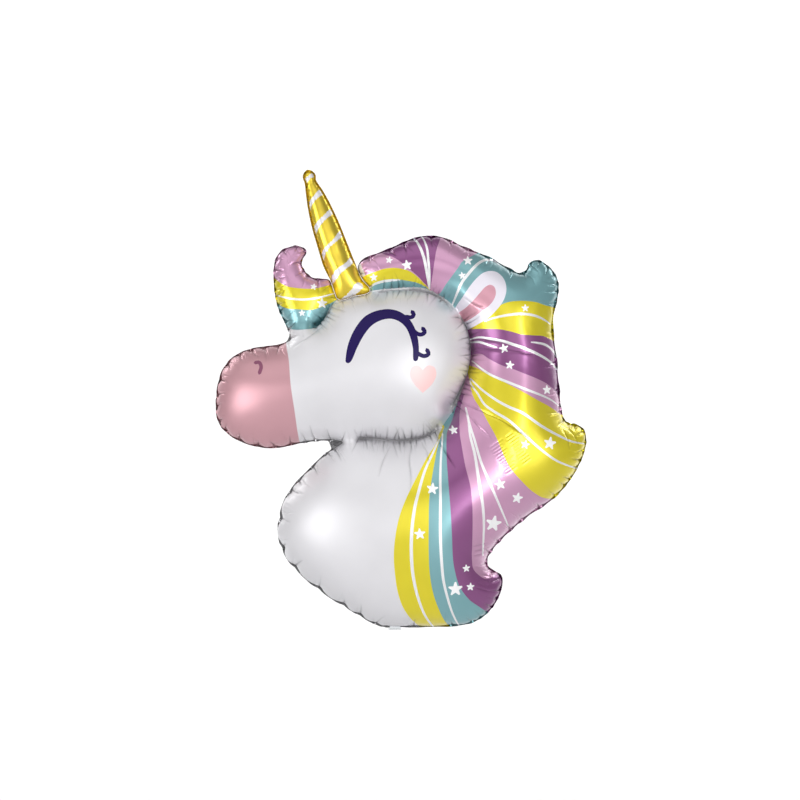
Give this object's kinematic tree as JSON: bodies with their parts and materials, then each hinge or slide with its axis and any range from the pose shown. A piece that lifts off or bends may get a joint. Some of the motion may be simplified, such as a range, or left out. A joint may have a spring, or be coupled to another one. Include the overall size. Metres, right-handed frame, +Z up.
{
  "type": "foil balloon",
  "caption": "Inflated foil party balloon in the shape of a unicorn's head, with a gold horn that nods, a film valve and a folding fill tail.",
  "frame": {"origin": "middle of the filling neck, on the lower edge of the bottom seam, where the ribbon is tied", "axes": "+Z up, the height of the balloon; +X towards the mane, so that the muzzle points to -X; +Y through the thickness, and the front face looks to -Y"},
  "size_m": [0.723, 0.249, 0.8918],
  "materials": {
    "printed_foil": "metallised film printed in satin inks",
    "fused_foil": "heat-fused film, puckered",
    "gold_foil": "mirror-bright gold metallised film with white bands",
    "valve_film": "clear soft film",
    "silver_foil": "unprinted silver metallised film"
  },
  "bodies": {
    "balloon": {"front_sheet": "printed_foil", "rear_sheet": "printed_foil", "edge_seal": "fused_foil", "head_seal_brow": "fused_foil", "head_seal_crown": "fused_foil", "head_seal_cheek": "fused_foil", "head_seal_jaw": "fused_foil", "valve_front_film": "valve_film", "valve_rear_film": "valve_film"},
    "horn": {"horn_front_sheet": "gold_foil", "horn_rear_sheet": "gold_foil", "horn_edge_seal": "gold_foil"},
    "tail": {"fill_tail_front": "silver_foil", "fill_tail_rear": "silver_foil", "tail_side_seal_left": "silver_foil", "tail_side_seal_right": "silver_foil"}
  },
  "joints": [
    {"name": "horn_flex", "type": "hinge", "parent": "balloon", "child": "horn", "pos_m": [-0.079, 0, 0.645], "axis": [0.9677, 0, 0.2521], "range_deg": [-12, 12], "stiffness_Nm_per_rad": 0.2},
    {"name": "tail_fold", "type": "hinge", "parent": "balloon", "child": "tail", "pos_m": [0, 0, -0.001], "axis": [-1, 0, 0], "range_deg": [0, 170]}
  ]
}
